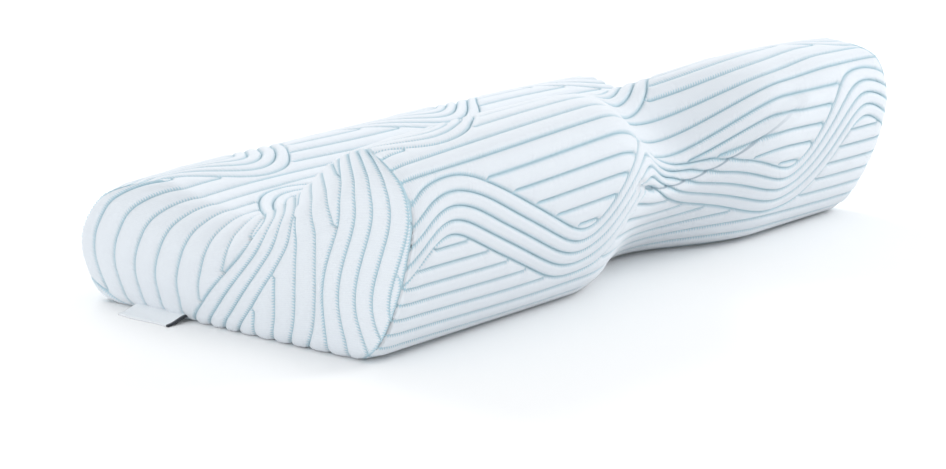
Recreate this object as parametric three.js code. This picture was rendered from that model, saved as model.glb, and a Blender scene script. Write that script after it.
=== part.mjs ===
import * as THREE from "three";

// Cervical pillow with a shoulder recess, in millimetres. X runs along its length, the
// front with the recess looks toward -Y, and it rests on the plane Z = 0.

// Body

// The cover is drawn in flat cloth places: u runs along the length and v runs around the
// section, from the front foot over the ridge to the back foot.
const HALF_LENGTH = 248.5;
const BACK_TAPER = 14;
const END_CROWN = 0.045;
const RECESS_X = 36;
const TOP_FILLET = 26;
const CORNER_FILLET = 11;
const FOOT_ROUNDING = 10;
const END_BULGE = 1.5;
const SEAM_INSET = 1.3;
const SEAM_FADE = 12;
const CAP_SEAM_FADE = 0.1;
const FILLET_SHARE = 0.45;

// Places [y, z] of the section in a wing and in the middle of the recess, and how far the
// recess reaches along the length from its own middle, RECESS_X, at each of them.
const SECTION = [
  { name: "front foot", wing: [-106, 0], recess: [-66, 0], reach: 100 },
  { name: "front heel", wing: [-123, 11], recess: [-83, 9], reach: 100 },
  { name: "front face", wing: [-141, 41], recess: [-105, 30], reach: 100 },
  { name: "under nose", wing: [-152, 72], recess: [-125, 53], reach: 98 },
  { name: "nose", wing: [-155, 98], recess: [-127, 70], reach: 98 },
  { name: "brow", wing: [-145, 119], recess: [-111, 87], reach: 100 },
  { name: "ridge", wing: [-115, 128.5], recess: [-83, 111], reach: 106 },
  { name: "ridge back", wing: [-78, 118], recess: [-56, 108], reach: 108 },
  { name: "slope", wing: [-39, 91], recess: [-29, 92], reach: 108 },
  { name: "hollow", wing: [2, 70] },
  { name: "rise", wing: [46, 73] },
  { name: "roll top", wing: [91, 83.5] },
  { name: "roll back", wing: [127, 73] },
  { name: "back", wing: [147, 51] },
  { name: "under back", wing: [150, 29] },
  { name: "back heel", wing: [139, 7] },
  { name: "back foot", wing: [122, 0] },
];

const clamp = (value, low, high) => Math.min(high, Math.max(low, value));
const mix = (a, b, t) => a + (b - a) * t;

function smooth(t) {
  const s = clamp(t, 0, 1);
  return s * s * (3 - 2 * s);
}

// Flat place of each key, measured along the section of a wing.
const FLAT = [0];
for (let i = 1; i < SECTION.length; i++) {
  const from = SECTION[i - 1];
  const to = SECTION[i];
  FLAT.push(FLAT[i - 1] + Math.hypot(to.wing[0] - from.wing[0], to.wing[1] - from.wing[1]));
}
const flatOf = (name) => FLAT[SECTION.findIndex((key) => key.name === name)];
const V_END = FLAT[FLAT.length - 1];
const V_RIDGE = flatOf("ridge");
const V_ROLL = flatOf("roll top");

// The key i of the section at the place x, as [y, z].
function keyAt(i, x) {
  const { wing, recess, reach } = SECTION[clamp(i, 0, SECTION.length - 1)];
  const crown = 1 - END_CROWN * (x / HALF_LENGTH) ** 4;
  const aside = Math.abs(x - RECESS_X);
  if (!recess || aside > reach) return [wing[0], wing[1] * crown];
  const share = Math.cos(aside / reach * Math.PI / 2) ** 2;
  return [mix(wing[0], recess[0], share), mix(wing[1], recess[1], share) * crown];
}

// The section's point at the flat place v, on a smooth curve through its keys.
function sectionPoint(x, v) {
  let i = 0;
  while (i < FLAT.length - 2 && v > FLAT[i + 1]) i++;
  const width = FLAT[i + 1] - FLAT[i];
  const t = clamp((v - FLAT[i]) / width, 0, 1);
  const [before, from, to, after] = [keyAt(i - 1, x), keyAt(i, x), keyAt(i + 1, x), keyAt(i + 2, x)];
  const vBefore = FLAT[Math.max(i - 1, 0)];
  const vAfter = FLAT[Math.min(i + 2, FLAT.length - 1)];
  const [y, z] = [0, 1].map((axis) => {
    const leave = (to[axis] - before[axis]) / (FLAT[i + 1] - vBefore) * width;
    const arrive = (after[axis] - from[axis]) / (vAfter - FLAT[i]) * width;
    const a = 2 * from[axis] - 2 * to[axis] + leave + arrive;
    const b = -3 * from[axis] + 3 * to[axis] - 2 * leave - arrive;
    return ((a * t + b) * t + leave) * t + from[axis];
  });
  return [y, Math.max(z, 0)];
}

// How far across the top the flat place v is: 0 at the ridge and 1 on the back roll.
const acrossTop = (v) => clamp((v - V_RIDGE) / (V_ROLL - V_RIDGE), 0, 1);

// Half length of the pillow, less toward its back.
const endX = (across) => HALF_LENGTH - BACK_TAPER * across ** 1.5;

// Rounding of the top edge, crisp at the corner seams and soft between them.
function filletOf(across) {
  return mix(CORNER_FILLET, TOP_FILLET, Math.sin(Math.PI * clamp(across, 0, 1)) ** 0.5);
}

// Path down an end face at the share t of its length, as [x, z], for a top edge at height.
function endPath(across, height, t) {
  const fillet = Math.min(filletOf(across), height * FILLET_SHARE);
  const face = height - fillet - FOOT_ROUNDING;
  const arcs = [fillet * Math.PI / 2, face, FOOT_ROUNDING * Math.PI / 2];
  let s = t * (arcs[0] + arcs[1] + arcs[2]);
  const x = endX(across);
  if (s < arcs[0]) {
    const turn = s / fillet;
    return [x - fillet + fillet * Math.sin(turn), height - fillet + fillet * Math.cos(turn)];
  }
  s -= arcs[0];
  if (s < face) {
    return [x + END_BULGE * Math.sin(Math.PI * s / face) ** 2, height - fillet - s];
  }
  const turn = Math.min((s - face) / FOOT_ROUNDING, Math.PI / 2);
  const inward = FOOT_ROUNDING * (1 - Math.cos(turn));
  return [x - inward, FOOT_ROUNDING * (1 - Math.sin(turn))];
}

// Half length at a height on the corner seam that the flap ends on.
function seamX(across, top, z) {
  const fillet = filletOf(across);
  const x = endX(across);
  if (z > top - fillet) {
    return x - fillet + Math.sqrt(Math.max(0, fillet ** 2 - (z - top + fillet) ** 2));
  }
  if (z < FOOT_ROUNDING) {
    return x - FOOT_ROUNDING + Math.sqrt(FOOT_ROUNDING ** 2 - (FOOT_ROUNDING - z) ** 2);
  }
  const share = (z - FOOT_ROUNDING) / (top - fillet - FOOT_ROUNDING);
  return x + END_BULGE * Math.sin(Math.PI * share) ** 2;
}

const HALVINGS = 20;

// Depth place of a corner seam at a share of its height, from its foot to its top corner.
function seamY(foot, corner, share) {
  const height = sectionPoint(HALF_LENGTH, corner)[1] * share;
  let low = foot;
  let high = corner;
  for (let step = 0; step < HALVINGS; step++) {
    const middle = (low + high) / 2;
    if (sectionPoint(HALF_LENGTH, middle)[1] < height) low = middle;
    else high = middle;
  }
  return sectionPoint(HALF_LENGTH, (low + high) / 2)[0];
}

// Flat half length of the cover up to the end's top edge, and its flat reach down an end.
const U_BODY = 236;
const U_CAP = 112;

// Where the body's surface ends, at the top edge's rounding or at a corner seam.
function bodyHalf(v) {
  if (v >= V_RIDGE && v <= V_ROLL) {
    const across = acrossTop(v);
    return endX(across) - filletOf(across);
  }
  const across = v < V_RIDGE ? 0 : 1;
  const corner = v < V_RIDGE ? V_RIDGE : V_ROLL;
  const top = sectionPoint(HALF_LENGTH, corner)[1];
  const z = sectionPoint(HALF_LENGTH, v)[1];
  return seamX(across, top, z) - SEAM_INSET * Math.min(1, Math.abs(v - corner) / SEAM_FADE);
}

// Surface of the body between the ends.
function bodyPoint(u, v) {
  const x = u / U_BODY * bodyHalf(v);
  const [y, z] = sectionPoint(x, v);
  return new THREE.Vector3(x, y, z);
}

// Surface of an end face, where the top's cloth runs down between the corner seams.
function capPoint(u, v) {
  const side = Math.sign(u);
  const t = clamp((Math.abs(u) - U_BODY) / U_CAP, 0, 1);
  const across = acrossTop(v);
  const half = endX(across) - filletOf(across);
  const [y, top] = sectionPoint(half, clamp(v, V_RIDGE, V_ROLL));
  const [x, z] = endPath(across, top, t);
  const inset = SEAM_INSET * Math.min(1, t / CAP_SEAM_FADE);
  const front = seamY(0, V_RIDGE, z / top) - seamY(0, V_RIDGE, 1) + inset;
  const back = seamY(V_END, V_ROLL, z / top) - seamY(V_END, V_ROLL, 1) - inset;
  return new THREE.Vector3(side * x, y + front * (1 - across) + back * across, z);
}

// Quilting

// The stitched lines lie in wavy ribbons of close lines, with fields of plain lines between
// them that end on a ribbon's edge. All places are flat cloth places.
const PITCH = 12.4;
const RIBBON_PITCH = 8.6;
const WAVE = 208;
const LEAN = 0.38;
const CREST = 2.6;
const NO_CHANNEL = 2.4;
const WANDER = 2.6;
const WANDER_ALONG = 52;
const WANDER_AROUND = 70;
const LEAD_LENGTH = 90;
const LEAD_WIDTH = 40;
const END_LEAN = 0.45;
const LEAN_WIDTH = 190;
const RIBBONS = [
  { middle: 82, swing: 30, shift: -38, lines: 5 },
  { middle: 196, swing: 25, shift: 62, lines: 5 },
  { middle: 297, swing: 28, shift: -12, lines: 4 },
  { middle: 402, swing: 25, shift: 84, lines: 5 },
];

// Edges and lines of one ribbon at the place u, from low to high.
function ribbonAt(ribbon, u) {
  const turn = 2 * Math.PI * (u - ribbon.shift) / WAVE;
  const lean = turn + LEAN * Math.sin(turn);
  const middle = ribbon.middle + ribbon.swing * Math.sin(lean);
  const slope = ribbon.swing * Math.cos(lean) * (1 + LEAN * Math.cos(turn)) * 2 * Math.PI / WAVE;
  const step = RIBBON_PITCH * Math.hypot(1, slope);
  const lines = [];
  for (let i = 0; i < ribbon.lines; i++) {
    lines.push(middle + (i - (ribbon.lines - 1) / 2) * step);
  }
  return lines;
}

// Middle places of the plain lines in the field below the ribbon at an index, spread evenly
// between the lowest and the highest place that the field reaches.
function fieldLines(index) {
  const halfWidth = (ribbon) => (ribbon.lines - 1) / 2 * RIBBON_PITCH;
  const below = RIBBONS[index - 1];
  const above = RIBBONS[index];
  const from = below ? below.middle - below.swing + halfWidth(below) : 0;
  const to = above ? above.middle + above.swing - halfWidth(above) : V_END;
  const count = Math.round((to - from) / PITCH);
  return Array.from({ length: count }, (_, i) => from + (i + 0.5) * (to - from) / count);
}

// All stitched lines at the place u, as a rising list that is equally long everywhere.
// A field's line that is past a ribbon's edge lies on that edge.
function plainLinesAt(u) {
  const lines = [0];
  let low = 0;
  for (const [index, ribbon] of [...RIBBONS, null].entries()) {
    const band = ribbon ? ribbonAt(ribbon, u) : [V_END];
    for (const v of fieldLines(index)) {
      const place = clamp(v + WANDER * Math.sin(u / WANDER_ALONG + v / WANDER_AROUND), low, band[0]);
      const snapped = place - low < NO_CHANNEL ? low : place;
      lines.push(band[0] - snapped < NO_CHANNEL ? band[0] : snapped);
    }
    lines.push(...band);
    low = band[band.length - 1];
  }
  return lines;
}

// The line nearest to each top corner is led onto it, so that the corner has a vertex.
const CORNERS = [];
for (const side of [-1, 1]) {
  const lines = plainLinesAt(side * U_BODY);
  for (const corner of [V_RIDGE, V_ROLL]) {
    const gaps = lines.map((v) => Math.abs(v - corner));
    const row = gaps.indexOf(Math.min(...gaps));
    CORNERS.push({ side, corner, row, from: lines[row] });
  }
}

// Stitched lines at the place u, with the lines led onto the corners near the ends. Down
// an end face they lean forward, so that they end on the front corner seam.
function linesAt(u) {
  const down = Math.max(0, Math.abs(u) - U_BODY);
  return plainLinesAt(u).map((v) => {
    let moved = v - END_LEAN * down * smooth((V_RIDGE + LEAN_WIDTH - v) / LEAN_WIDTH);
    for (const { side, corner, from } of CORNERS) {
      const near = smooth((side * u - U_BODY + LEAD_LENGTH) / LEAD_LENGTH);
      const share = Math.max(0, 1 - Math.abs(v - from) / LEAD_WIDTH);
      moved += (corner - from) * share * near;
    }
    return moved;
  });
}

// Rows of the cover at the place u: a stitched line in every even row, and the crest of a
// channel in every odd row. Lines outside the low and high edges lie on them.
function rowsAt(u, lowEdge, highEdge) {
  const lines = linesAt(u).map((v) => clamp(v, lowEdge, highEdge));
  const rows = [];
  for (let i = 0; i < lines.length; i++) {
    rows.push({ v: lines[i], height: 0 });
    if (i + 1 < lines.length) {
      const width = lines[i + 1] - lines[i];
      const height = CREST * Math.sqrt(clamp(width / PITCH, 0, 1));
      rows.push({ v: (lines[i] + lines[i + 1]) / 2, height });
    }
  }
  return rows;
}

// Cover and underside

const BODY_COLUMNS = 38;
const CAP_COLUMNS = 9;
const EDGE_FADE = 10;
const FLAP_SHARE = 0.3;
const SEAM_MARGIN = 3;
const SAME_PLACE = 1e-6;
const REACH = 0.5;

const positions = [];
const triangles = [];

function addVertex(point) {
  positions.push(point.x, point.y, point.z);
  return positions.length / 3 - 1;
}

function addTriangle(a, b, c) {
  if (a !== b && b !== c && c !== a) triangles.push(a, b, c);
}

function distance(a, b) {
  const step = [0, 1, 2].map((axis) => positions[3 * a + axis] - positions[3 * b + axis]);
  return Math.hypot(...step);
}

// Outward direction of a surface at a place, with v kept inside its edges.
function outward(surface, u, v, lowEdge, highEdge) {
  const along = surface(u + REACH, v).sub(surface(u - REACH, v));
  const high = surface(u, Math.min(v + REACH, highEdge));
  const low = surface(u, Math.max(v - REACH, lowEdge));
  return along.cross(high.sub(low)).normalize();
}

// Adds a column of vertices, one for each different place, and returns a number for each row.
function addColumn(surface, u, lowEdge, highEdge, fade) {
  const column = [];
  let last = null;
  for (const { v, height } of rowsAt(u, lowEdge, highEdge)) {
    if (last === null || v - last > SAME_PLACE) {
      const point = surface(u, v);
      const lift = height * fade(u, v);
      if (lift > 0) point.addScaledVector(outward(surface, u, v, lowEdge, highEdge), lift);
      column.push(addVertex(point));
    } else {
      column.push(column[column.length - 1]);
    }
    last = v;
  }
  return column;
}

// Channels flatten at the feet and at the corner seams.
function bodyFade(u, v) {
  const foot = smooth(Math.min(v, V_END - v) / EDGE_FADE);
  const flap = v < V_RIDGE || v > V_ROLL;
  return foot * (flap ? mix(FLAP_SHARE, 1, smooth((U_BODY - Math.abs(u)) / EDGE_FADE)) : 1);
}

function capFade(u, v) {
  const foot = smooth((U_BODY + U_CAP - Math.abs(u)) / EDGE_FADE);
  const seam = smooth((Math.min(v - V_RIDGE, V_ROLL - v) + SEAM_MARGIN) / EDGE_FADE);
  return foot * seam;
}

// Joins two neighbouring columns, each four-sided patch cut along its shorter diagonal.
function joinColumns(left, right) {
  for (let row = 0; row + 1 < left.length; row++) {
    const [a, b, c, d] = [left[row], right[row], right[row + 1], left[row + 1]];
    if (distance(a, c) < distance(b, d)) {
      addTriangle(a, b, c);
      addTriangle(a, c, d);
    } else {
      addTriangle(a, b, d);
      addTriangle(b, c, d);
    }
  }
}

const body = [];
for (let i = 0; i <= BODY_COLUMNS; i++) {
  const u = mix(-U_BODY, U_BODY, i / BODY_COLUMNS);
  body.push(addColumn(bodyPoint, u, 0, V_END, bodyFade));
}
for (let i = 0; i < BODY_COLUMNS; i++) joinColumns(body[i], body[i + 1]);

// Each end's columns start on the body's last column, held between its two top corners.
function addCap(side) {
  const edge = side < 0 ? body[0] : body[BODY_COLUMNS];
  const [ridge, roll] = CORNERS.filter((corner) => corner.side === side);
  const first = edge.map((_, row) => edge[clamp(row, 2 * ridge.row, 2 * roll.row)]);
  const cap = [first];
  for (let i = 1; i <= CAP_COLUMNS; i++) {
    const u = side * (U_BODY + U_CAP * i / CAP_COLUMNS);
    cap.push(addColumn(capPoint, u, V_RIDGE, V_ROLL, capFade));
  }
  for (let i = 0; i < CAP_COLUMNS; i++) {
    if (side > 0) joinColumns(cap[i], cap[i + 1]);
    else joinColumns(cap[i + 1], cap[i]);
  }
  return { edge, cap, ridge: 2 * ridge.row, roll: 2 * roll.row };
}

// Numbers of a line of vertices, each once.
const distinct = (line) => line.filter((vertex, i) => i === 0 || vertex !== line[i - 1]);

// Closes the narrow strip of a corner seam between two lines of vertices that rise together.
function sewStrip(left, right) {
  let i = 0;
  let j = 0;
  while (i + 1 < left.length || j + 1 < right.length) {
    const stepLeft = i + 1 < left.length ? distance(left[i + 1], right[j]) : Infinity;
    const stepRight = j + 1 < right.length ? distance(left[i], right[j + 1]) : Infinity;
    if (stepLeft < stepRight) {
      addTriangle(left[i], right[j], left[i + 1]);
      i++;
    } else {
      addTriangle(left[i], right[j], right[j + 1]);
      j++;
    }
  }
}

const caps = [addCap(-1), addCap(1)];
for (const [index, { edge, cap, ridge, roll }] of caps.entries()) {
  const lastRow = edge.length - 1;
  const frontFlap = distinct(edge.slice(0, ridge + 1));
  const frontCap = distinct(cap.map((column) => column[0]).reverse());
  const backFlap = distinct(edge.slice(roll).reverse());
  const backCap = distinct(cap.map((column) => column[lastRow]).reverse());
  if (index === 1) {
    sewStrip(frontFlap, frontCap);
    sewStrip(backCap, backFlap);
  } else {
    sewStrip(frontCap, frontFlap);
    sewStrip(backFlap, backCap);
  }
}

// The flat underside closes the loop of lowest vertices.
const leftFoot = distinct(caps[0].cap[CAP_COLUMNS]).reverse();
const rightFoot = distinct(caps[1].cap[CAP_COLUMNS]);
const frontFoot = body.map((column) => column[0]);
const backFoot = body.map((column) => column[column.length - 1]).reverse();
const rim = distinct([...frontFoot, ...rightFoot, ...backFoot, ...leftFoot]);
const outline = rim.map((i) => new THREE.Vector2(positions[3 * i], positions[3 * i + 1]));
for (const [a, b, c] of THREE.ShapeUtils.triangulateShape(outline, [])) {
  addTriangle(rim[a], rim[c], rim[b]);
}

const pillowShape = new THREE.BufferGeometry();
pillowShape.setAttribute("position", new THREE.Float32BufferAttribute(positions, 3));
pillowShape.setIndex(triangles);
pillowShape.computeVertexNormals();
const quilted = new THREE.MeshStandardMaterial({ color: 0xe9f0f7, roughness: 0.9 });
const pillow = new THREE.Mesh(pillowShape, quilted);
pillow.name = "pillow";

// Label

// A bare satin tab that comes out of the bottom seam at the left end and slopes down onto the
// surface. Its root is the front corner where it leaves the seam.
const LABEL = { rootX: -242.2, rootY: 46, turn: 0.06, length: 50, reach: 16, thick: 1.2 };
const LABEL_DROP = 3.2;
const LABEL_LANDING = 0.85;
const LABEL_STEPS = 8;

function labelSection() {
  const lower = [];
  const upper = [];
  for (let i = 0; i <= LABEL_STEPS; i++) {
    const share = i / LABEL_STEPS;
    const height = LABEL_DROP * (1 - smooth(share / LABEL_LANDING));
    lower.push(new THREE.Vector2(-LABEL.reach * share, height));
    upper.push(new THREE.Vector2(-LABEL.reach * share, height + LABEL.thick));
  }
  return new THREE.Shape([...lower, ...upper.reverse()]);
}

const labelShape = new THREE.ExtrudeGeometry(labelSection(), { depth: LABEL.length, bevelEnabled: false });
labelShape.rotateX(Math.PI / 2);
labelShape.translate(0, LABEL.length, 0);
labelShape.rotateZ(-LABEL.turn);
labelShape.translate(LABEL.rootX, LABEL.rootY, 0);
const satin = new THREE.MeshStandardMaterial({ color: 0xf4f5f6, roughness: 0.45 });
const label = new THREE.Mesh(labelShape, satin);
label.name = "label";

const part = new THREE.Group();
part.name = "cervical_pillow";
part.add(pillow, label);

export default part;
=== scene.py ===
import math

import bpy
import numpy as np
from mathutils import Matrix, Vector
from mathutils.geometry import tessellate_polygon


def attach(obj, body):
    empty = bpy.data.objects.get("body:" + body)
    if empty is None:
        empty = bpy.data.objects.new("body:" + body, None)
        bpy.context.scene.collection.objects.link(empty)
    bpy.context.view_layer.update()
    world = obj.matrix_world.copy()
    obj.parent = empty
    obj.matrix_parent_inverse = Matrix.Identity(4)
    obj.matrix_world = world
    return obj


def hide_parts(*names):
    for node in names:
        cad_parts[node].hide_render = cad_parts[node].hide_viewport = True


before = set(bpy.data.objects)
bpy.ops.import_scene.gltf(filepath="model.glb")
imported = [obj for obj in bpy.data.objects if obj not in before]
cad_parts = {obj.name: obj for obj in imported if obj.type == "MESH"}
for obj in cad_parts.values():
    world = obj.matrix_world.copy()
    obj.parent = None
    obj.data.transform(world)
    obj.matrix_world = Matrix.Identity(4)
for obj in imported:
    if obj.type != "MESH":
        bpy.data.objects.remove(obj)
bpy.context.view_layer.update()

# Contour of the foam
# The body is a block of viscoelastic foam, moulded with a high front ridge, a hollow for
# the head, a lower back roll and a recess for the shoulder in its front. All sizes are in
# millimetres until the mesh is made, and v runs around the section from the front foot.
HALF_LENGTH = 248.5
BACK_TAPER = 14.0
END_CROWN = 0.045
RECESS_X = 36
TOP_FILLET = 26.0
CORNER_FILLET = 11.0
FOOT_ROUNDING = 10.0
END_BULGE = 1.5
SEAM_INSET = 0.9
SEAM_FADE = 12
CAP_SEAM_FADE = 0.1
FILLET_SHARE = 0.45

# Each row: name, y and z in a wing, y and z in the middle of the recess, its reach there.
SECTION = [
    ("front foot", -106, 0, -66, 0, 100),
    ("front heel", -123, 11, -83, 9, 100),
    ("front face", -141, 41, -105, 30, 100),
    ("under nose", -152, 72, -125, 53, 98),
    ("nose", -155, 98, -127, 70, 98),
    ("brow", -145, 119, -111, 87, 100),
    ("ridge", -115, 128.5, -83, 111, 106),
    ("ridge back", -78, 118, -56, 108, 108),
    ("slope", -39, 91, -29, 92, 108),
    ("hollow", 2, 70, 2, 70, 108),
    ("rise", 46, 73, 46, 73, 108),
    ("roll top", 91, 83.5, 91, 83.5, 108),
    ("roll back", 127, 73, 127, 73, 108),
    ("back", 147, 51, 147, 51, 108),
    ("under back", 150, 29, 150, 29, 108),
    ("back heel", 139, 7, 139, 7, 108),
    ("back foot", 122, 0, 122, 0, 108),
]
KEY_NAMES = [key[0] for key in SECTION]
WING = np.array([key[1:3] for key in SECTION], float)
RECESS = np.array([key[3:5] for key in SECTION], float)
REACH = np.array([key[5] for key in SECTION], float)
FLAT = np.concatenate([[0], np.cumsum(np.linalg.norm(np.diff(WING, axis=0), axis=1))])
V_END = FLAT[-1]
V_RIDGE = FLAT[KEY_NAMES.index("ridge")]
V_ROLL = FLAT[KEY_NAMES.index("roll top")]


def smooth(t):
    """Eases from 0 to 1 while t goes from 0 to 1."""
    s = np.clip(t, 0, 1)
    return s * s * (3 - 2 * s)


def section_keys(i, x):
    """Places [y, z] of the keys i at the places x along the length."""
    i = np.clip(i, 0, len(FLAT) - 1)
    reach = np.minimum(np.abs(x - RECESS_X) / REACH[i], 1)
    share = (np.cos(reach * math.pi / 2) ** 2)[:, None]
    places = WING[i] * (1 - share) + RECESS[i] * share
    places[:, 1] *= 1 - END_CROWN * (x / HALF_LENGTH) ** 4
    return places


def section_points(x, v):
    """Places [y, z] on the smooth section through the keys, at flat places v."""
    i = np.clip(np.searchsorted(FLAT, v, side="left") - 1, 0, len(FLAT) - 2)
    width = FLAT[i + 1] - FLAT[i]
    t = np.clip((v - FLAT[i]) / width, 0, 1)[:, None]
    before, start, end, after = (section_keys(i + step, x) for step in (-1, 0, 1, 2))
    back = width / (FLAT[i + 1] - FLAT[np.maximum(i - 1, 0)])
    ahead = width / (FLAT[np.minimum(i + 2, len(FLAT) - 1)] - FLAT[i])
    leave = (end - before) * back[:, None]
    arrive = (after - start) * ahead[:, None]
    cubic = 2 * start - 2 * end + leave + arrive
    square = -3 * start + 3 * end - 2 * leave - arrive
    places = ((cubic * t + square) * t + leave) * t + start
    places[:, 1] = np.maximum(places[:, 1], 0)
    return places


def across_top(v):
    """How far across the top v is: 0 at the ridge and 1 on the back roll."""
    return np.clip((v - V_RIDGE) / (V_ROLL - V_RIDGE), 0, 1)


def end_x(across):
    """Half length of the pillow, less towards its back."""
    return HALF_LENGTH - BACK_TAPER * across ** 1.5


def fillet_of(across):
    """Rounding of the top edge, crisp at the corner seams and soft between them."""
    soft = np.sin(math.pi * across).clip(0, 1) ** 0.5
    return CORNER_FILLET + (TOP_FILLET - CORNER_FILLET) * soft


def end_path(across, height, t):
    """Places x and z down an end face, at the share t of the way from the top edge."""
    fillet = np.minimum(fillet_of(across), height * FILLET_SHARE)
    face = height - fillet - FOOT_ROUNDING
    quarter = math.pi / 2
    s = t * ((fillet + FOOT_ROUNDING) * quarter + face)
    x = end_x(across)
    top_turn = np.clip(s / fillet, 0, quarter)
    run = np.clip(s - fillet * quarter, 0, face)
    foot_turn = np.clip((s - fillet * quarter - face) / FOOT_ROUNDING, 0, quarter)
    out = x - fillet + fillet * np.sin(top_turn) + END_BULGE * np.sin(math.pi * run / face) ** 2
    out -= FOOT_ROUNDING * (1 - np.cos(foot_turn))
    z = height - fillet * (1 - np.cos(top_turn)) - run - FOOT_ROUNDING * np.sin(foot_turn)
    return out, np.maximum(z, 0)


def seam_x(across, top, z):
    """Half length at a height on a corner seam."""
    fillet = fillet_of(across)
    x = end_x(across)
    above = np.maximum(z - top + fillet, 0)
    below = np.clip(FOOT_ROUNDING - z, 0, FOOT_ROUNDING)
    high = x - fillet + np.sqrt(np.maximum(0, fillet ** 2 - above ** 2))
    low = x - FOOT_ROUNDING + np.sqrt(FOOT_ROUNDING ** 2 - below ** 2)
    share = np.clip((z - FOOT_ROUNDING) / (top - fillet - FOOT_ROUNDING), 0, 1)
    middle = x + END_BULGE * np.sin(math.pi * share) ** 2
    return np.where(z > top - fillet, high, np.where(z < FOOT_ROUNDING, low, middle))


SEAM_STEPS = 400


def seam_table(foot, corner):
    """Heights and depth places of a corner seam, from its foot to its top corner."""
    ends = np.full(SEAM_STEPS, HALF_LENGTH)
    places = section_points(ends, np.linspace(foot, corner, SEAM_STEPS))
    return places[:, 1], places[:, 0]


FRONT_SEAM = seam_table(0, V_RIDGE)
BACK_SEAM = seam_table(V_END, V_ROLL)
RIDGE_TOP = FRONT_SEAM[0][-1]
ROLL_TOP = BACK_SEAM[0][-1]

# Flat half length of the cover up to an end's top edge, and its flat reach down an end.
U_BODY = 236.0
U_CAP = 112.0


def body_points(u, v):
    """Surface between the ends, at flat places u along the length and v around it."""
    front = v < V_RIDGE
    across = across_top(v)
    z = section_points(np.full_like(v, HALF_LENGTH), v)[:, 1]
    corner = np.where(front, V_RIDGE, V_ROLL)
    flap = seam_x(across, np.where(front, RIDGE_TOP, ROLL_TOP), z)
    flap = flap - SEAM_INSET * np.minimum(1, np.abs(v - corner) / SEAM_FADE)
    half = np.where(front | (v > V_ROLL), flap, end_x(across) - fillet_of(across))
    x = u / U_BODY * half
    return np.column_stack([x, section_points(x, v)])


def cap_points(u, v):
    """Surface of an end face, where the top's cloth runs down between the corner seams."""
    t = np.clip((np.abs(u) - U_BODY) / U_CAP, 0, 1)
    across = across_top(v)
    half = end_x(across) - fillet_of(across)
    top = section_points(half, np.clip(v, V_RIDGE, V_ROLL))
    x, z = end_path(across, top[:, 1], t)
    share = z / top[:, 1]
    inset = SEAM_INSET * np.minimum(1, t / CAP_SEAM_FADE)
    front = np.interp(share * RIDGE_TOP, *FRONT_SEAM) - FRONT_SEAM[1][-1] + inset
    back = np.interp(share * ROLL_TOP, *BACK_SEAM) - BACK_SEAM[1][-1] - inset
    y = top[:, 0] + front * (1 - across) + back * across
    return np.column_stack([np.sign(u) * x, y, z])


# Quilting lines
# The knitted face cloth is stitched to its wadding in wavy ribbons of close lines, with
# fields of plain lines between them that end on a ribbon's edge. The layout is a general
# one of waves, drawn in the same flat places u and v.
PITCH = 12.4
RIBBON_PITCH = 8.6
WAVE = 208.0
LEAN = 0.38
NO_CHANNEL = 2.4
WANDER = 2.6
WANDER_ALONG = 52
WANDER_AROUND = 70
END_LEAN = 0.45
LEAN_WIDTH = 190
LEAD_LENGTH = 90
LEAD_WIDTH = 40

# Each row: middle, swing, shift along the length, number of lines.
RIBBONS = [
    (82, 30, -38, 5),
    (196, 25, 62, 5),
    (297, 28, -12, 4),
    (402, 25, 84, 5),
]


def ribbon_at(ribbon, u):
    """Places of a ribbon's stitched lines at u, from low to high."""
    middle, swing, shift, count = ribbon
    turn = 2 * math.pi * (u - shift) / WAVE
    lean = turn + LEAN * math.sin(turn)
    slope = swing * math.cos(lean) * (1 + LEAN * math.cos(turn)) * 2 * math.pi / WAVE
    step = RIBBON_PITCH * math.hypot(1, slope)
    centre = middle + swing * math.sin(lean)
    return [centre + (i - (count - 1) / 2) * step for i in range(count)]


def field_lines(index):
    """Middle places of the plain lines in the field below the ribbon at an index."""
    start = 0.0
    stop = V_END
    if index > 0:
        middle, swing, _, count = RIBBONS[index - 1]
        start = middle - swing + (count - 1) / 2 * RIBBON_PITCH
    if index < len(RIBBONS):
        middle, swing, _, count = RIBBONS[index]
        stop = middle + swing - (count - 1) / 2 * RIBBON_PITCH
    lines = round((stop - start) / PITCH)
    return [start + (i + 0.5) * (stop - start) / lines for i in range(lines)]


def plain_lines_at(u):
    """Every stitched line at the place u, rising, and equally many everywhere."""
    lines = [0.0]
    low = 0.0
    for index in range(len(RIBBONS) + 1):
        band = [V_END] if index == len(RIBBONS) else ribbon_at(RIBBONS[index], u)
        for v in field_lines(index):
            place = v + WANDER * math.sin(u / WANDER_ALONG + v / WANDER_AROUND)
            place = min(max(place, low), band[0])
            if place - low < NO_CHANNEL:
                place = low
            if band[0] - place < NO_CHANNEL:
                place = band[0]
            lines.append(place)
        lines += band
        low = band[-1]
    return np.array(lines)


# The stitched line nearest to each top corner is led onto it, so the corner has a vertex.
# Each row: side, corner, row of that line, where the line was.
CORNERS = []
for side in (-1, 1):
    edge_lines = plain_lines_at(side * U_BODY)
    for corner in (V_RIDGE, V_ROLL):
        row = int(np.argmin(np.abs(edge_lines - corner)))
        CORNERS.append((side, corner, row, edge_lines[row]))


def lines_at(u):
    """Stitched lines at u, led onto the corners and leaning forward down an end face."""
    lines = plain_lines_at(u)
    down = max(0.0, abs(u) - U_BODY)
    moved = lines - END_LEAN * down * smooth((V_RIDGE + LEAN_WIDTH - lines) / LEAN_WIDTH)
    for side, corner, _, start in CORNERS:
        near = smooth((side * u - U_BODY + LEAD_LENGTH) / LEAD_LENGTH)
        moved += (corner - start) * np.maximum(0, 1 - np.abs(lines - start) / LEAD_WIDTH) * near
    return moved


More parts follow.
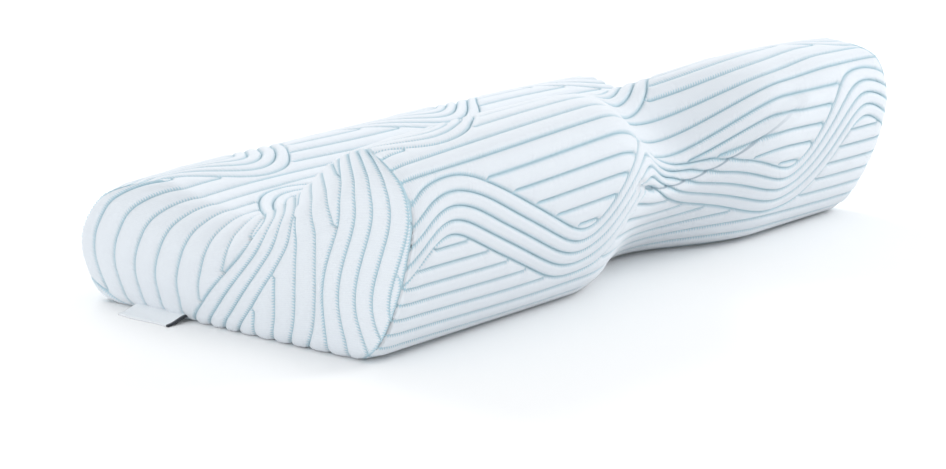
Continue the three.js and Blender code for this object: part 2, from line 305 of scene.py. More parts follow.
# Quilted cover
# A fine pale knit, quilted on wadding so that its channels stand up round between stitched
# lines. One panel turns down both ends, and it is sewn to the front, back and underside at
# the corner seams and around the foot, where the cloth is drawn in.
CREST = 3.1
SINK = 0.5
COLUMN = 2.3
SUB_ROWS = (0.0, 0.1, 0.28, 0.5, 0.72, 0.9)
FULLEST = 1.15
FADE = 9.0
SEAM_MARGIN = 2.5
FLAP_SHARE = 0.25
SAME_PLACE = 1e-6

# Flat places of all vertices, how far each one stands out, and whether it is on an end.
places_u = []
places_v = []
lifts = []
on_cap = []


def lay_column(u, low, high, cap):
    """Adds one column of vertices and gives their numbers, one for each row."""
    lines = np.clip(lines_at(u), low, high)
    end = U_BODY + U_CAP
    column = []
    last = -1.0
    for start, stop in zip(lines, np.append(lines[1:], lines[-1])):
        width = stop - start
        for share in SUB_ROWS if width > 0 else (0.0,) * len(SUB_ROWS):
            v = start + share * width
            if v - last > SAME_PLACE:
                round_top = math.sqrt(1 - (2 * share - 1) ** 2)
                lift = CREST * math.sqrt(min(width / PITCH, FULLEST)) * round_top - SINK
                if cap:
                    lift *= smooth((end - abs(u)) / FADE)
                    lift *= smooth((min(v - low, high - v) + SEAM_MARGIN) / FADE)
                else:
                    lift *= smooth(min(v, V_END - v) / FADE)
                    if v < V_RIDGE or v > V_ROLL:
                        flap = smooth((U_BODY - abs(u)) / FADE)
                        lift *= FLAP_SHARE + (1 - FLAP_SHARE) * flap
                places_u.append(u)
                places_v.append(v)
                lifts.append(lift)
                on_cap.append(cap)
                last = v
            column.append(len(places_u) - 1)
    return column[:-len(SUB_ROWS) + 1]


body_steps = round(2 * U_BODY / COLUMN)
cap_steps = round(U_CAP / COLUMN)
body_u = np.linspace(-U_BODY, U_BODY, body_steps + 1)
body = [lay_column(u, 0, V_END, False) for u in body_u]
last_row = len(body[0]) - 1

# Each end's columns start on the body's last one, held between its two top corners.
caps = {}
for side in (-1, 1):
    edge = body[0] if side < 0 else body[-1]
    ridge, roll = (row * len(SUB_ROWS) for s, _, row, _ in CORNERS if s == side)
    first = [edge[min(max(r, ridge), roll)] for r in range(last_row + 1)]
    outer = [lay_column(side * (U_BODY + U_CAP * i / cap_steps), V_RIDGE, V_ROLL, True)
             for i in range(1, cap_steps + 1)]
    caps[side] = {"columns": [first] + outer, "edge": edge, "ridge": ridge, "roll": roll}

u = np.array(places_u)
v = np.array(places_v)
cap = np.array(on_cap)
lift = np.array(lifts)
skin = np.where(cap[:, None], cap_points(u, v), body_points(u, v))
NUDGE = 0.5
TINY = 1e-9


def outward(surface, low, high):
    """Outward directions of a surface at all places, with v kept inside its edges."""
    along = surface(u + NUDGE, v) - surface(u - NUDGE, v)
    upper = surface(u, np.minimum(v + NUDGE, high))
    lower = surface(u, np.maximum(v - NUDGE, low))
    normal = np.cross(along, upper - lower)
    return normal / np.maximum(np.linalg.norm(normal, axis=1), TINY)[:, None]


cap_out = outward(cap_points, V_RIDGE, V_ROLL)
out = np.where(cap[:, None], cap_out, outward(body_points, 0, V_END))

# The dart across the recess draws the cloth in, as the corner seams do. It rises towards
# the right, and the foam above it is scooped out, which leaves a soft lip along the seam.
DART_U = 52.0
DART_V = FLAT[KEY_NAMES.index("under nose")] + 5
DART_REACH = 90.0
DART_RISE = 24.0
DART_WIDTH = 1.4
DART_DEPTH = 3.4
DART_SPREAD = 2.6
DART_FADE = 14
SCOOP_U = 86.0
SCOOP_REACH = 94.0
SCOOP_DEPTH = 7.0
SCOOP_LIP = 9
SCOOP_TOP = V_RIDGE + 12
SCOOP_SLOPE = 45
SCOOP_FADE = 60
SEAM_FOOT_FADE = 12
SEAM_TOP_FADE = 25
dart_line = DART_V + DART_RISE * np.clip((u - DART_U) / DART_REACH, 0, 1) ** 2
dart = np.exp(-((v - dart_line) / DART_SPREAD) ** 2)
dart *= smooth((DART_REACH - np.abs(u - DART_U)) / DART_FADE)
scoop = smooth((v - dart_line) / SCOOP_LIP) * smooth((SCOOP_TOP - v) / SCOOP_SLOPE)
scoop *= smooth((SCOOP_REACH - np.abs(u - SCOOP_U)) / SCOOP_FADE)
on_seam = cap & ((v <= V_RIDGE) | (v >= V_ROLL))
on_seam |= ~cap & (np.abs(u) >= U_BODY) & ((v < V_RIDGE) | (v > V_ROLL))
seam_top = np.where(v <= V_RIDGE, RIDGE_TOP, ROLL_TOP)
seam_depth = smooth(skin[:, 2] / SEAM_FOOT_FADE)
seam_depth *= smooth((seam_top - skin[:, 2]) / SEAM_TOP_FADE)
lift = np.where(on_seam, -seam_depth, lift - DART_DEPTH * dart - SCOOP_DEPTH * scoop)

# From here on all sizes are in metres, and nothing of the cover is below the floor.
skin = (skin + out * lift[:, None]) / 1000
skin[:, 2] = np.maximum(skin[:, 2], 0)

# Each face's vertices and panel, 0 for the quilted cover and 1 for the underside, and for
# each of its corners the place on the quilting and the place on the flat cloth.
faces = []
face_side = []
face_uv = []
face_cloth = []


def spread(columns):
    """Vertex numbers of a block of columns, and how far along its row each one lies."""
    ids = np.array(columns).T
    steps = np.linalg.norm(np.diff(skin[ids], axis=1), axis=2)
    return ids, np.concatenate([np.zeros((len(ids), 1)), np.cumsum(steps, axis=1)], axis=1)


def weave_block(ids, along):
    """Adds the faces between the columns of a block, with their places on the cloth."""
    count = len(SUB_ROWS)
    low = skin[ids[:-1:count]]
    chord = skin[ids[count::count]] - low
    run = np.gradient(low, axis=1)
    run /= np.maximum(np.linalg.norm(run, axis=2), TINY)[..., None]
    width = np.linalg.norm(chord - run * (chord * run).sum(axis=2)[..., None], axis=2)
    across = np.zeros(ids.shape)
    for i, share in enumerate(SUB_ROWS):
        across[i:-1:count] = min(share, 1 - share) * width
    corner_steps = ((0, 0), (0, 1), (1, 1), (1, 0))
    for r in range(ids.shape[0] - 1):
        for c in range(ids.shape[1] - 1):
            spots = [(r + up, c + on) for up, on in corner_steps]
            if ids[spots[0]] == ids[spots[3]]:
                spots.pop(3)
            if ids[r, c + 1] == ids[r + 1, c + 1]:
                spots.remove((r + 1, c + 1))
            if len(spots) < 3:
                continue
            numbers = [int(ids[spot]) for spot in spots]
            faces.append(numbers)
            face_uv.extend((along[spot], across[spot]) for spot in spots)
            face_cloth.extend((u[n] / 1000, v[n] / 1000) for n in numbers)
            face_side.append(0)


OFF_LINE = 0.006


def add_plain(numbers, side):
    """Adds a face of a corner seam, side 0, which lies on a stitched line, or of the
    underside, side 1, which is far from one."""
    faces.append(numbers)
    face_uv.extend((skin[n][2], 0.0 if side == 0 else OFF_LINE) for n in numbers)
    face_cloth.extend((skin[n][0], skin[n][1]) for n in numbers)
    face_side.append(side)


def sew_strip(left, right):
    """Closes a corner seam between two lines of vertices that rise together."""
    i = j = 0
    while i + 1 < len(left) or j + 1 < len(right):
        step_left = math.inf
        step_right = math.inf
        if i + 1 < len(left):
            step_left = np.linalg.norm(skin[left[i + 1]] - skin[right[j]])
        if j + 1 < len(right):
            step_right = np.linalg.norm(skin[left[i]] - skin[right[j + 1]])
        if step_left < step_right:
            numbers = [left[i], right[j], left[i + 1]]
            i += 1
        else:
            numbers = [left[i], right[j], right[j + 1]]
            j += 1
        if len(set(numbers)) == 3:
            add_plain(numbers, 0)


def distinct(line):
    """The numbers of a line of vertices, each once."""
    return [n for i, n in enumerate(line) if i == 0 or n != line[i - 1]]


body_ids, body_along = spread(body)
weave_block(body_ids, body_along)
blocks = [body_ids]
for side, end in caps.items():
    columns = end["columns"] if side > 0 else end["columns"][::-1]
    ids, along = spread(columns)
    if side > 0:
        along = along + body_along[:, -1:]
    else:
        along = along - along[:, -1:]
    weave_block(ids, along)
    blocks.append(ids)
    front_flap = distinct(end["edge"][:end["ridge"] + 1])
    front_cap = distinct([column[0] for column in end["columns"]][::-1])
    back_flap = distinct(end["edge"][end["roll"]:][::-1])
    back_cap = distinct([column[-1] for column in end["columns"]][::-1])
    if side > 0:
        sew_strip(front_flap, front_cap)
        sew_strip(back_cap, back_flap)
    else:
        sew_strip(front_cap, front_flap)
        sew_strip(back_flap, back_cap)

# The underside is one flat panel of plain knit, sewn to the sides around the foot.
rim = [column[0] for column in body] + distinct(caps[1]["columns"][-1])
rim += [column[-1] for column in body][::-1] + distinct(caps[-1]["columns"][-1])[::-1]
rim = distinct(rim)
if rim[0] == rim[-1]:
    rim.pop()
outline = [Vector((skin[n][0], skin[n][1], 0)) for n in rim]
for triangle in tessellate_polygon([outline]):
    a, b, c = (rim[i] for i in triangle)
    turn = np.cross(skin[b] - skin[a], skin[c] - skin[a])[2]
    add_plain([a, b, c] if turn < 0 else [a, c, b], 1)

cover_mesh = bpy.data.meshes.new("quilted_body")
cover_mesh.from_pydata([tuple(p) for p in skin], [], faces)
for name, values in (("quilt", face_uv), ("cloth", face_cloth)):
    layer = cover_mesh.uv_layers.new(name=name)
    layer.data.foreach_set("uv", np.array(values, np.float32).ravel())
dart_layer = cover_mesh.attributes.new("dart place", "FLOAT_VECTOR", "POINT")
dart_place = np.column_stack([(u - DART_U) / DART_REACH, (v - dart_line) / DART_WIDTH, 0 * u])
dart_layer.data.foreach_set("vector", dart_place.astype(np.float32).ravel())
cover_mesh.polygons.foreach_set("material_index", face_side)
cover_mesh.polygons.foreach_set("use_smooth", [side == 0 for side in face_side])
cover_mesh.update()
cover = bpy.data.objects.new("quilted_body", cover_mesh)
bpy.context.scene.collection.objects.link(cover)


def node(tree, kind, place, **values):
    """Adds a node at a place in the editor, with its settings."""
    made = tree.nodes.new(kind)
    made.location = place
    for name, value in values.items():
        setattr(made, name, value)
    return made


def feed(tree, socket, value):
    """Links a socket to the output that it comes from, or sets it to a plain value."""
    if hasattr(value, "links"):
        tree.links.new(value, socket)
    else:
        socket.default_value = value


def reckon(tree, place, operation, *values):
    """Adds a Math node and gives its result."""
    made = node(tree, "ShaderNodeMath", place, operation=operation)
    for socket, value in zip(made.inputs, values):
        feed(tree, socket, value)
    return made.outputs[0]


def ease(tree, place, value, reach, result, kind="LINEAR"):
    """Leads a value between the two ends of its reach to the two ends of a result."""
    made = node(tree, "ShaderNodeMapRange", place, interpolation_type=kind)
    for name, end in zip(("From Min", "From Max", "To Min", "To Max"), (*reach, *result)):
        made.inputs[name].default_value = end
    tree.links.new(value, made.inputs["Value"])
    return made.outputs[0]


def mottle(tree, place, spot, scale, detail=2.0):
    """Adds soft noise at a spot and gives its value."""
    made = node(tree, "ShaderNodeTexNoise", place)
    made.inputs["Scale"].default_value = scale
    made.inputs["Detail"].default_value = detail
    tree.links.new(spot, made.inputs["Vector"])
    return made.outputs["Fac"]


def colour_mix(tree, place, factor, first, second):
    """Mixes two colours, each given as a colour or as the output that it comes from."""
    mixer = node(tree, "ShaderNodeMix", place, data_type="RGBA")
    feed(tree, mixer.inputs["Factor"], factor)
    for socket, colour in ((mixer.inputs[6], first), (mixer.inputs[7], second)):
        feed(tree, socket, colour if hasattr(colour, "links") else (*colour, 1))
    return mixer.outputs[2]


def bump_on(tree, place, height, distance, strength, under=None):
    """Adds relief of a height in metres and a strength, on top of the relief under it."""
    bump = node(tree, "ShaderNodeBump", place)
    bump.inputs["Distance"].default_value = distance
    bump.inputs["Strength"].default_value = strength
    tree.links.new(height, bump.inputs["Height"])
    if under is not None:
        tree.links.new(under, bump.inputs["Normal"])
    return bump.outputs[0]


KNIT_RIB = 0.0012
KNIT_COURSE = 0.0009
RIB_SHARE = 0.6
CLOUD_SHARE = 0.3
CLOUD_SCALE = 90


def knit_group():
    """Fine ribs and loops of a knitted face cloth, from its flat place in metres."""
    tree = bpy.data.node_groups.new("fine knit", "ShaderNodeTree")
    for name, size in (("Rib", KNIT_RIB), ("Course", KNIT_COURSE)):
        socket = tree.interface.new_socket(name, in_out="INPUT", socket_type="NodeSocketFloat")
        socket.default_value = size
    tree.interface.new_socket("Place", in_out="INPUT", socket_type="NodeSocketVector")
    tree.interface.new_socket("Height", in_out="OUTPUT", socket_type="NodeSocketFloat")
    tree.interface.new_socket("Shade", in_out="OUTPUT", socket_type="NodeSocketFloat")
    inputs = node(tree, "NodeGroupInput", (-900, 0))
    outputs = node(tree, "NodeGroupOutput", (700, 0))
    split = node(tree, "ShaderNodeSeparateXYZ", (-700, 0))
    tree.links.new(inputs.outputs["Place"], split.inputs[0])
    waves = []
    for axis, size in enumerate(("Rib", "Course")):
        y = -200 * axis
        turns = reckon(tree, (-500, y), "DIVIDE", split.outputs[axis], inputs.outputs[size])
        angle = reckon(tree, (-340, y), "MULTIPLY", turns, 2 * math.pi)
        waves.append(reckon(tree, (-180, y), "SINE", angle))
    loops = reckon(tree, (0, -200), "MULTIPLY", *waves)
    ribs = reckon(tree, (0, 0), "MULTIPLY", waves[0], RIB_SHARE)
    height = reckon(tree, (180, 0), "ADD", ribs, loops)
    highest = 1 + RIB_SHARE
    # Painted shade: the low places of the ribs and loops are darker and their tops lighter, with faint
    # random mottling added.
    shade = ease(tree, (300, -300), height, (-highest, highest), (0.0, 1 - CLOUD_SHARE))
    cloud = mottle(tree, (0, -420), inputs.outputs["Place"], CLOUD_SCALE, 4)
    faint_cloud = reckon(tree, (300, -520), "MULTIPLY", cloud, CLOUD_SHARE)
    blend = reckon(tree, (500, -300), "ADD", shade, faint_cloud)
    tree.links.new(height, outputs.inputs["Height"])
    tree.links.new(blend, outputs.inputs["Shade"])
    return tree


fine_knit = knit_group()


SHEEN_ROUGHNESS = 0.45


def cloth_material(name, roughness, sheen):
    """Starts a cloth's material, with its gloss and its soft sheen."""
    material = bpy.data.materials.new(name)
    material.use_nodes = True
    tree = material.node_tree
    shader = tree.nodes["Principled BSDF"]
    shader.inputs["Roughness"].default_value = roughness
    shader.inputs["Sheen Weight"].default_value = sheen
    shader.inputs["Sheen Roughness"].default_value = SHEEN_ROUGHNESS
    return material, tree, shader


def knit_on(tree, rib, course):
    """Places the fine knit on the flat cloth map."""
    cloth_map = node(tree, "ShaderNodeUVMap", (-1300, -300), uv_map="cloth")
    knit = node(tree, "ShaderNodeGroup", (-1080, -300), node_tree=fine_knit)
    knit.inputs["Rib"].default_value = rib
    knit.inputs["Course"].default_value = course
    tree.links.new(cloth_map.outputs[0], knit.inputs["Place"])
    return knit


# The knit's painted shade runs from FACE_SHADE in its low places to FACE_LIGHT on its tops.
FACE_LIGHT = (0.79, 0.83, 0.865)
FACE_SHADE = (0.72, 0.765, 0.82)
LINE_BLUE = (0.40, 0.61, 0.70)
LINE_STRENGTH = 0.78
# Painted shadow in the crease of the dart.
PAINTED_DART_SHADOW = (0.22, 0.32, 0.40)
TICK = 0.0019
TICK_REACH = 0.0011
TICK_SWING = 0.0007
GATHERS_PER_METRE = (420, 60, 1)
GATHER_REACH = 0.0052
GATHER_FAINT = 0.12

quilted, tree, shader = cloth_material("quilted_knit", 0.88, 0.25)
knit = knit_on(tree, KNIT_RIB, KNIT_COURSE)
quilt_map = node(tree, "ShaderNodeUVMap", (-1300, 300), uv_map="quilt")
quilt = node(tree, "ShaderNodeSeparateXYZ", (-1100, 300))
tree.links.new(quilt_map.outputs[0], quilt.inputs[0])
along_line, from_line = quilt.outputs[:2]

# Thread ticks show on both sides of each stitched line.
ticks = reckon(tree, (-900, 420), "MULTIPLY", along_line, 2 * math.pi / TICK)
tick_wave = reckon(tree, (-740, 420), "SINE", ticks)
tick_reach = reckon(tree, (-580, 420), "MULTIPLY_ADD", tick_wave, TICK_SWING, TICK_REACH)
on_line = reckon(tree, (-420, 380), "DIVIDE", from_line, tick_reach)
line_mask = ease(tree, (-260, 380), on_line, (0.55, 1.25), (1.0, 0.0), "SMOOTHSTEP")
line_tint = reckon(tree, (-100, 300), "MULTIPLY", line_mask, LINE_STRENGTH)
face = colour_mix(tree, (-400, -100), knit.outputs["Shade"], FACE_SHADE, FACE_LIGHT)
tinted = colour_mix(tree, (-100, 100), line_tint, face, LINE_BLUE)

# The dart's fine crease gets a painted shadow, darkest on its middle line and fading as far from it as
# its own place says.
dart_map = node(tree, "ShaderNodeAttribute", (-940, 700), attribute_name="dart place")
dart_steps = node(tree, "ShaderNodeVectorMath", (-780, 700), operation="ABSOLUTE")
tree.links.new(dart_map.outputs["Vector"], dart_steps.inputs[0])
dart_axes = node(tree, "ShaderNodeSeparateXYZ", (-620, 700))
tree.links.new(dart_steps.outputs[0], dart_axes.inputs[0])
dart_far = reckon(tree, (-460, 700), "MAXIMUM", *dart_axes.outputs[:2])
dart_shadow_mask = ease(tree, (-300, 700), dart_far, (0.2, 1.0), (0.7, 0.0), "SMOOTHSTEP")
dart_shadowed = colour_mix(tree, (100, 300), dart_shadow_mask, tinted, PAINTED_DART_SHADOW)
tree.links.new(dart_shadowed, shader.inputs["Base Color"])

# Small gathers run out of each stitched line and fade towards the crown of a channel.
stretch = node(tree, "ShaderNodeMapping", (-1100, 80))
stretch.inputs["Scale"].default_value = GATHERS_PER_METRE
tree.links.new(quilt_map.outputs[0], stretch.inputs["Vector"])
gathers = mottle(tree, (-900, 80), stretch.outputs[0], 1.0, 3)
near_line = ease(tree, (-900, 240), from_line, (0.0, GATHER_REACH), (1.0, GATHER_FAINT))
gather_height = reckon(tree, (-700, 120), "MULTIPLY", gathers, near_line)
pulled = bump_on(tree, (-400, -500), gather_height, 0.0014, 0.8)
knitted = bump_on(tree, (-200, -500), knit.outputs["Height"], 0.00012, 0.45, pulled)
tree.links.new(knitted, shader.inputs["Normal"])

# The underside's knit is plain and a little coarser.
PLAIN_LOOP = 0.0016
plain, tree, shader = cloth_material("plain_knit", 0.9, 0.15)
knit = knit_on(tree, PLAIN_LOOP, PLAIN_LOOP)
# The same painted shade of the knit's hollows tints the underside.
face = colour_mix(tree, (-400, -100), knit.outputs["Shade"], FACE_SHADE, FACE_LIGHT)
tree.links.new(face, shader.inputs["Base Color"])
knitted = bump_on(tree, (-200, -500), knit.outputs["Height"], 0.0002, 0.5)
tree.links.new(knitted, shader.inputs["Normal"])

cover_mesh.materials.append(quilted)
cover_mesh.materials.append(plain)
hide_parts("pillow")
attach(cover, "root")

# Side label
# A bare tab of white satin ribbon, folded once and caught in the bottom seam at the left
# end. It slopes down onto the surface, and its front end is dark.
LABEL_ROOT = Vector((-0.2392, 0.046, 0))
LABEL_LENGTH = 0.050
LABEL_REACH = 0.018
LABEL_TURN = -0.06
LABEL_THICK = 0.0012
LABEL_DROP = 0.0034
LABEL_DARK_END_WIDTH = 0.0022
LABEL_LIFT = 0.0001
LABEL_LANDING = 0.85
LABEL_WAVE = 0.0007
LABEL_FRAY = 0.0006
LABEL_ROWS = 15
LABEL_COLUMNS = 53

label_points = []
for side in (0, 1):
    for i in range(LABEL_ROWS):
        share = i / (LABEL_ROWS - 1)
        fall = LABEL_LIFT + LABEL_DROP * (1 - float(smooth(share / LABEL_LANDING)))
        for j in range(LABEL_COLUMNS):
            run = j / (LABEL_COLUMNS - 1)
            wave = LABEL_WAVE * math.sin(1.2 + 5.2 * run) ** 2 * math.sin(math.pi * share)
            reach = LABEL_REACH * share - LABEL_FRAY * share * math.sin(7 * run)
            height = fall + wave + side * LABEL_THICK
            label_points.append(Vector((-reach, LABEL_LENGTH * run, height)))
count = LABEL_ROWS * LABEL_COLUMNS
label_faces = []
for i in range(LABEL_ROWS - 1):
    for j in range(LABEL_COLUMNS - 1):
        a = i * LABEL_COLUMNS + j
        quad = (a, a + 1, a + 1 + LABEL_COLUMNS, a + LABEL_COLUMNS)
        label_faces.append(tuple(reversed(quad)))
        label_faces.append(tuple(n + count for n in quad))

# The four edges, in order around the tab, close the two layers.
border = list(range(LABEL_COLUMNS))
border += [(i + 1) * LABEL_COLUMNS - 1 for i in range(1, LABEL_ROWS)]
border += [count - 2 - j for j in range(LABEL_COLUMNS - 1)]
border += [i * LABEL_COLUMNS for i in range(LABEL_ROWS - 2, 0, -1)]
for here, ahead in zip(border, border[1:] + border[:1]):
    label_faces.append((here, ahead, ahead + count, here + count))
label_mesh = bpy.data.meshes.new("satin_label")
turn = Matrix.Rotation(LABEL_TURN, 4, "Z")
label_mesh.from_pydata([LABEL_ROOT + turn @ p for p in label_points], [], label_faces)
layer = label_mesh.uv_layers.new(name="cloth")
for loop in label_mesh.loops:
    p = label_points[loop.vertex_index]
    layer.data[loop.index].uv = (p.x, p.y)
label_mesh.polygons.foreach_set("use_smooth", [True] * len(label_mesh.polygons))
label_mesh.update()
label = bpy.data.objects.new("satin_label", label_mesh)
bpy.context.scene.collection.objects.link(label)

SATIN_SHADE = (0.80, 0.84, 0.88)
SATIN_LIGHT = (0.90, 0.93, 0.95)
LABEL_DARK_END_COLOUR = (0.02, 0.025, 0.035)
SATIN_THREADS_PER_METRE = (3200, 240, 1)

satin, tree, shader = cloth_material("white_satin", 0.42, 0.1)
shader.inputs["Anisotropic"].default_value = 0.45
cloth_map = node(tree, "ShaderNodeUVMap", (-1100, 0), uv_map="cloth")
place = node(tree, "ShaderNodeSeparateXYZ", (-900, 0))
tree.links.new(cloth_map.outputs[0], place.inputs[0])
threads = node(tree, "ShaderNodeMapping", (-900, -240))
threads.inputs["Scale"].default_value = SATIN_THREADS_PER_METRE
tree.links.new(cloth_map.outputs[0], threads.inputs["Vector"])
weave = mottle(tree, (-700, -240), threads.outputs[0], 1.0)
silk = colour_mix(tree, (-480, -100), weave, SATIN_SHADE, SATIN_LIGHT)
# The tab is near black along a narrow band at its front end.
dark_end = reckon(tree, (-480, 160), "LESS_THAN", place.outputs[1], LABEL_DARK_END_WIDTH)
ribbon_colour = colour_mix(tree, (-260, 0), dark_end, silk, LABEL_DARK_END_COLOUR)
tree.links.new(ribbon_colour, shader.inputs["Base Color"])
woven = bump_on(tree, (-260, -360), weave, 0.00012, 0.4)
tree.links.new(woven, shader.inputs["Normal"])
label_mesh.materials.append(satin)
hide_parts("label")
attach(label, "root")

# Quilting stitches
# Pale blue thread, sewn in a narrow zigzag through the cover and its wadding along every
# stitched line. A line ends where it runs into another one or reaches the foot.
THREAD_END = 0.001
THREAD_LIFT = 0.0002
THREAD_SHADE = (0.34, 0.57, 0.66)
THREAD_LIGHT = (0.50, 0.70, 0.78)

thread_lines = []


def add_thread(numbers):
    """Keeps a line of vertices to sew along, unless it is too short."""
    line = distinct(numbers)
    if len(line) > 2:
        thread_lines.append(line)


row_count = len(SUB_ROWS)
for ids in blocks:
    for row in range(row_count, ids.shape[0] - 1, row_count):
        line = []
        for column in range(ids.shape[1]):
            n = int(ids[row, column])
            if n == ids[row - row_count, column] or skin[n][2] < THREAD_END:
                add_thread(line)
                line = []
            else:
                line.append(n)
        add_thread(line)

thread_points = []
thread_edges = []
thread_out = []
for line in thread_lines:
    start = len(thread_points)
    for n in line:
        thread_points.append(tuple(skin[n] + out[n] * THREAD_LIFT))
        thread_out.append(out[n])
    thread_edges.extend((i, i + 1) for i in range(start, len(thread_points) - 1))
path_mesh = bpy.data.meshes.new("stitch_path")
path_mesh.from_pydata(thread_points, thread_edges, [])
outward_layer = path_mesh.attributes.new("outward", "FLOAT_VECTOR", "POINT")
outward_layer.data.foreach_set("vector", np.array(thread_out, np.float32).ravel())
stitches = bpy.data.objects.new("quilting_thread", path_mesh)
bpy.context.scene.collection.objects.link(stitches)

thread, tree, shader = cloth_material("blue_thread", 0.6, 0.2)
spot = node(tree, "ShaderNodeTexCoord", (-900, 0))
hue = mottle(tree, (-700, 0), spot.outputs["Object"], 260)
twist = colour_mix(tree, (-400, 0), hue, THREAD_SHADE, THREAD_LIGHT)
tree.links.new(twist, shader.inputs["Base Color"])
ply = bump_on(tree, (-400, -300), hue, 0.0002, 0.3)
tree.links.new(ply, shader.inputs["Normal"])

STITCH_SIZES = {"Stitch Length": 0.0024, "Zigzag Angle": 0.6, "Thread Radius": 0.0003}
STITCH_HALF = 0.62


def stitch_tree():
    """Thread laid in a zigzag of short stitches along every curve of the path."""
    tree = bpy.data.node_groups.new("zigzag stitches", "GeometryNodeTree")
    tree.interface.new_socket("Path", in_out="INPUT", socket_type="NodeSocketGeometry")
    for name, size in STITCH_SIZES.items():
        socket = tree.interface.new_socket(name, in_out="INPUT", socket_type="NodeSocketFloat")
        socket.default_value = size
    tree.interface.new_socket("Thread", in_out="INPUT", socket_type="NodeSocketMaterial")
    tree.interface.new_socket("Stitches", in_out="OUTPUT", socket_type="NodeSocketGeometry")
    inputs = node(tree, "NodeGroupInput", (-1200, 0))
    outputs = node(tree, "NodeGroupOutput", (1200, 0))
    curve = node(tree, "GeometryNodeMeshToCurve", (-1000, 0))
    tree.links.new(inputs.outputs["Path"], curve.inputs[0])
    even = node(tree, "GeometryNodeResampleCurve", (-800, 0), mode="LENGTH")
    tree.links.new(curve.outputs[0], even.inputs["Curve"])
    tree.links.new(inputs.outputs["Stitch Length"], even.inputs["Length"])

    # One stitch is a slim bead, thickest in its middle, pointing along Z.
    bead = node(tree, "GeometryNodeMeshCone", (-800, -400))
    bead.inputs["Vertices"].default_value = 4
    bead.inputs["Radius Top"].default_value = 0.0
    tree.links.new(inputs.outputs["Thread Radius"], bead.inputs["Radius Bottom"])
    half = reckon(tree, (-1000, -500), "MULTIPLY", inputs.outputs["Stitch Length"], STITCH_HALF)
    tree.links.new(half, bead.inputs["Depth"])
    turned = node(tree, "GeometryNodeTransform", (-600, -520))
    turned.inputs["Scale"].default_value = (1, 1, -1)
    tree.links.new(bead.outputs["Mesh"], turned.inputs["Geometry"])
    flipped = node(tree, "GeometryNodeFlipFaces", (-440, -520))
    tree.links.new(turned.outputs[0], flipped.inputs[0])
    both = node(tree, "GeometryNodeJoinGeometry", (-280, -400))
    tree.links.new(bead.outputs["Mesh"], both.inputs[0])
    tree.links.new(flipped.outputs[0], both.inputs[0])
    welded = node(tree, "GeometryNodeMergeByDistance", (-120, -400))
    welded.inputs["Distance"].default_value = 0.00001
    tree.links.new(both.outputs[0], welded.inputs["Geometry"])

    # Every other stitch leans to the other side of the line, flat on the cloth.
    tangent = node(tree, "GeometryNodeInputTangent", (-1000, 260))
    away = node(tree, "GeometryNodeInputNamedAttribute", (-1200, 420), data_type="FLOAT_VECTOR")
    away.inputs["Name"].default_value = "outward"
    beside = node(tree, "ShaderNodeVectorMath", (-1000, 340), operation="CROSS_PRODUCT")
    tree.links.new(away.outputs["Attribute"], beside.inputs[0])
    tree.links.new(tangent.outputs[0], beside.inputs[1])
    order = node(tree, "GeometryNodeInputIndex", (-1400, 560))
    odd = reckon(tree, (-1200, 560), "MODULO", order.outputs[0], 2)
    sign = reckon(tree, (-1040, 560), "MULTIPLY_ADD", odd, 2, -1)
    lean = reckon(tree, (-880, 560), "MULTIPLY", sign, inputs.outputs["Zigzag Angle"])
    leaned = node(tree, "ShaderNodeVectorMath", (-800, 400), operation="SCALE")
    tree.links.new(beside.outputs[0], leaned.inputs[0])
    tree.links.new(lean, leaned.inputs["Scale"])
    course = node(tree, "ShaderNodeVectorMath", (-700, 300), operation="ADD")
    tree.links.new(tangent.outputs[0], course.inputs[0])
    tree.links.new(leaned.outputs[0], course.inputs[1])

    # The course is stored on the curve, because loose points know no tangent.
    stored = node(tree, "GeometryNodeStoreNamedAttribute", (-600, 0), data_type="FLOAT_VECTOR")
    stored.inputs["Name"].default_value = "course"
    tree.links.new(even.outputs[0], stored.inputs["Geometry"])
    tree.links.new(course.outputs[0], stored.inputs["Value"])
    points = node(tree, "GeometryNodeCurveToPoints", (-400, 0), mode="EVALUATED")
    tree.links.new(stored.outputs[0], points.inputs["Curve"])
    kept = node(tree, "GeometryNodeInputNamedAttribute", (60, 120), data_type="FLOAT_VECTOR")
    kept.inputs["Name"].default_value = "course"
    aim = node(tree, "FunctionNodeAlignRotationToVector", (240, 300), axis="Z")
    tree.links.new(kept.outputs["Attribute"], aim.inputs["Vector"])
    laid = node(tree, "GeometryNodeInstanceOnPoints", (460, 0))
    tree.links.new(points.outputs["Points"], laid.inputs["Points"])
    tree.links.new(welded.outputs[0], laid.inputs["Instance"])
    tree.links.new(aim.outputs[0], laid.inputs["Rotation"])
    real = node(tree, "GeometryNodeRealizeInstances", (660, 0))
    tree.links.new(laid.outputs[0], real.inputs[0])
    dyed = node(tree, "GeometryNodeSetMaterial", (860, 0))
    tree.links.new(real.outputs[0], dyed.inputs["Geometry"])
    tree.links.new(inputs.outputs["Thread"], dyed.inputs["Material"])
    tree.links.new(dyed.outputs[0], outputs.inputs[0])
    return tree


sewing = stitches.modifiers.new("sewing", "NODES")
sewing.node_group = stitch_tree()
stitch_values = {**STITCH_SIZES, "Thread": thread}
for item in sewing.node_group.interface.items_tree:
    if item.in_out == "INPUT" and item.name in stitch_values:
        sewing[item.identifier] = stitch_values[item.name]
bpy.context.view_layer.update()
sewn = stitches.evaluated_get(bpy.context.evaluated_depsgraph_get())
sewn_mesh = bpy.data.meshes.new_from_object(sewn)
stitches.modifiers.remove(sewing)
stitches.data = sewn_mesh
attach(stitches, "root")

# Studio
# A plain white table top, a large soft light behind the pillow, one in front at its right
# and a weak low one at its left. The camera stands in front and to the left, a bit above.
FLOOR_REACH = 30
PAPER_WHITE = (0.975, 0.975, 0.975, 1)
LAMP_SIZE = 1.2
SKY = (0.97, 0.985, 1.0, 1)
SKY_STRENGTH = 0.85

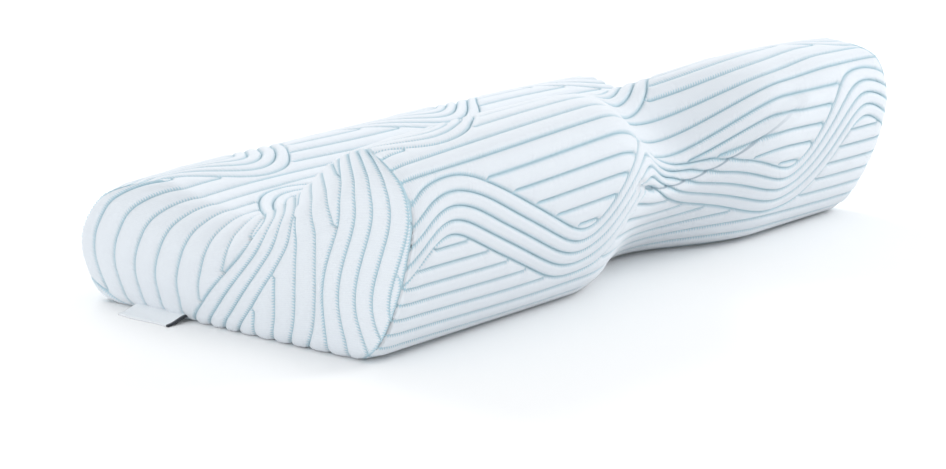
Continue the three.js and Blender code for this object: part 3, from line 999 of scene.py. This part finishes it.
floor_corners = [(x * FLOOR_REACH, y * FLOOR_REACH, 0) for x, y in ((-1, -1), (1, -1), (1, 1), (-1, 1))]
floor_mesh = bpy.data.meshes.new("floor")
floor_mesh.from_pydata(floor_corners, [], [(0, 1, 2, 3)])
floor = bpy.data.objects.new("floor", floor_mesh)
bpy.context.scene.collection.objects.link(floor)
paper = bpy.data.materials.new("white_paper")
paper.use_nodes = True
shader = paper.node_tree.nodes["Principled BSDF"]
shader.inputs["Base Color"].default_value = PAPER_WHITE
shader.inputs["Roughness"].default_value = 0.9
floor_mesh.materials.append(paper)


def soft_light(name, place, power):
    """Adds a round soft light, aimed at the pillow."""
    lamp = bpy.data.lights.new(name, "AREA")
    lamp.shape = "DISK"
    lamp.size = LAMP_SIZE
    lamp.energy = power
    made = bpy.data.objects.new(name, lamp)
    made.location = place
    made.rotation_euler = Vector(place).to_track_quat("Z", "Y").to_euler()
    bpy.context.scene.collection.objects.link(made)


soft_light("key", (0.6, 1.9, 1.5), 20)
soft_light("side", (1.6, -1.2, 1.2), 18)
soft_light("low", (-2.1, -0.2, 0.4), 6)
world = bpy.data.worlds.new("studio")
world.use_nodes = True
sky = world.node_tree.nodes["Background"]
sky.inputs["Color"].default_value = SKY
sky.inputs["Strength"].default_value = SKY_STRENGTH
bpy.context.scene.world = world
bpy.context.scene.view_settings.view_transform = "Standard"

SIDEWAYS = math.radians(-48.62)
DOWN = math.radians(12.98)
ROLL = math.radians(-1.93)
DISTANCE = 1.8173
CENTRE = Vector((-0.0211, 0, 0.0191))
FOCAL_LENGTH = 102.82
SENSOR_WIDTH = 36
flat = math.cos(DOWN)
back = Vector((math.sin(SIDEWAYS) * flat, -math.cos(SIDEWAYS) * flat, math.sin(DOWN)))
right = Vector((math.cos(SIDEWAYS), math.sin(SIDEWAYS), 0))
up = back.cross(right)
rolled_right = math.cos(ROLL) * right + math.sin(ROLL) * up
rolled_up = -math.sin(ROLL) * right + math.cos(ROLL) * up
lens = bpy.data.cameras.new("camera")
lens.sensor_width = SENSOR_WIDTH
lens.lens = FOCAL_LENGTH
camera = bpy.data.objects.new("camera", lens)
axes = Matrix((rolled_right, rolled_up, back)).transposed().to_4x4()
camera.matrix_world = Matrix.Translation(CENTRE + back * DISTANCE) @ axes
bpy.context.scene.collection.objects.link(camera)
bpy.context.scene.camera = camera
